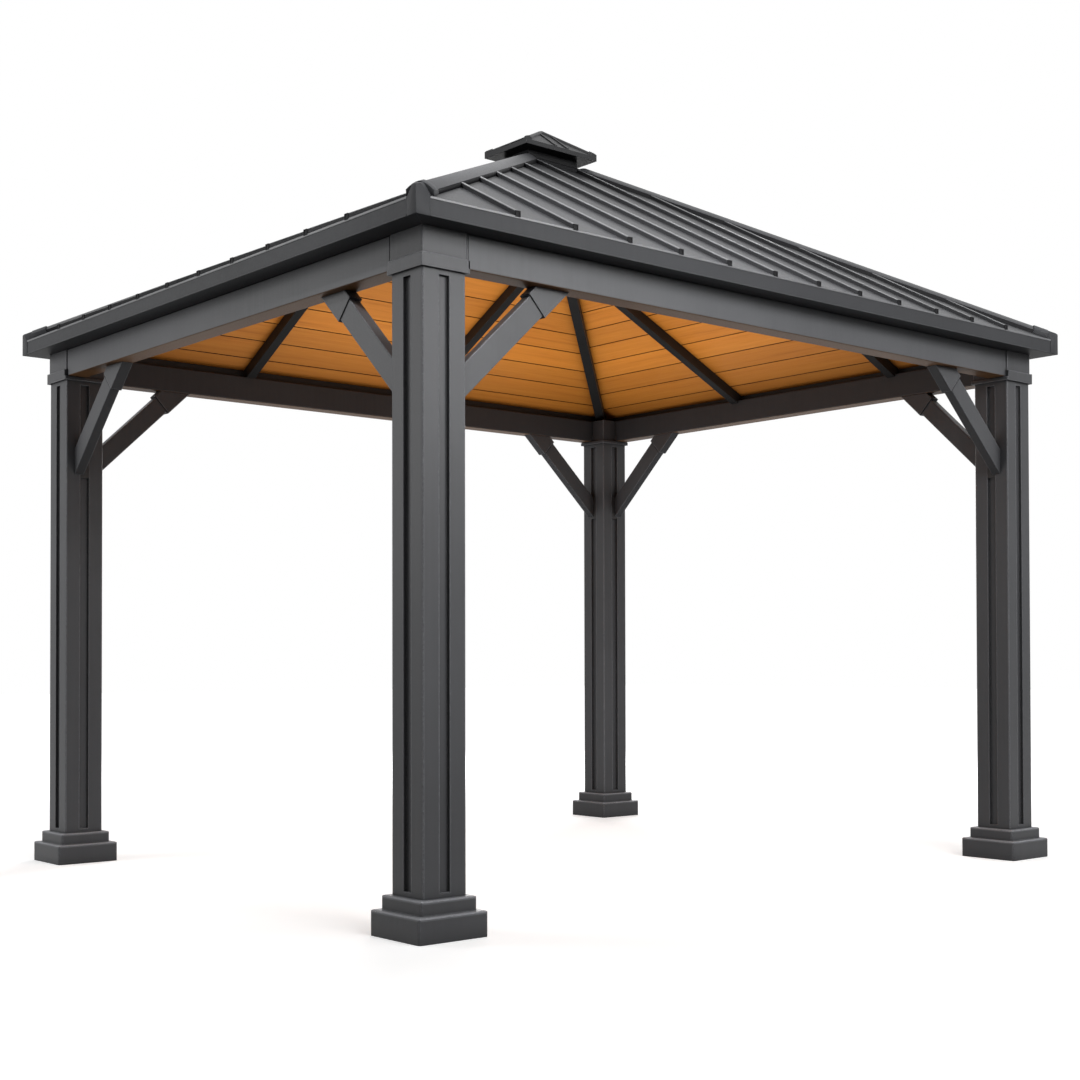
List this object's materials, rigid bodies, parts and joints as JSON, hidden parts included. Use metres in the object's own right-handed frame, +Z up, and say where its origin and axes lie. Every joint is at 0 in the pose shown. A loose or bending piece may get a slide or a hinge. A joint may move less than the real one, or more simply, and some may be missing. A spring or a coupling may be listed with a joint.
{
  "type": "hardtop gazebo",
  "caption": "Open-sided metal gazebo: grooved square posts with knee braces carry a hipped standing-seam roof with a timber-look ceiling and a vented cap.",
  "frame": {"origin": "centre of the plan, on the ground", "axes": "+Z up, +X along the long side, -Y towards the front"},
  "size_m": [3.621, 3.071, 3.334],
  "materials": {
    "frame_metal": "satin powder coat",
    "frame_dark": "satin powder coat",
    "roof_metal": "satin coated sheet",
    "timber_ceiling": "honey wood-look lining boards"
  },
  "bodies": {
    "root": {"post_front_left": "frame_metal", "post_front_right": "frame_metal", "post_back_left": "frame_metal", "post_back_right": "frame_metal", "base_front_left": "frame_metal", "base_front_right": "frame_metal", "base_back_left": "frame_metal", "base_back_right": "frame_metal", "head_front_left": "frame_metal", "head_front_right": "frame_metal", "head_back_left": "frame_metal", "head_back_right": "frame_metal", "beam_front": "frame_metal", "beam_back": "frame_metal", "beam_left": "frame_metal", "beam_right": "frame_metal", "braces_front": "frame_metal", "braces_back": "frame_metal", "braces_left": "frame_metal", "braces_right": "frame_metal", "brace_sockets": "frame_metal", "brace_pads": "frame_dark", "ledgers": "frame_dark", "hip_rafters": "frame_dark", "rafters": "frame_dark", "ceiling_front": "timber_ceiling", "ceiling_back": "timber_ceiling", "ceiling_left": "timber_ceiling", "ceiling_right": "timber_ceiling", "fascia_front": "frame_metal", "fascia_back": "frame_metal", "fascia_left": "frame_metal", "fascia_right": "frame_metal", "roof_front": "roof_metal", "roof_back": "roof_metal", "roof_left": "roof_metal", "roof_right": "roof_metal", "hip_caps": "roof_metal", "corner_hoods": "roof_metal", "vent_flashing": "roof_metal", "vent_collar": "roof_metal", "vent_cap": "roof_metal"}
  },
  "joints": []
}
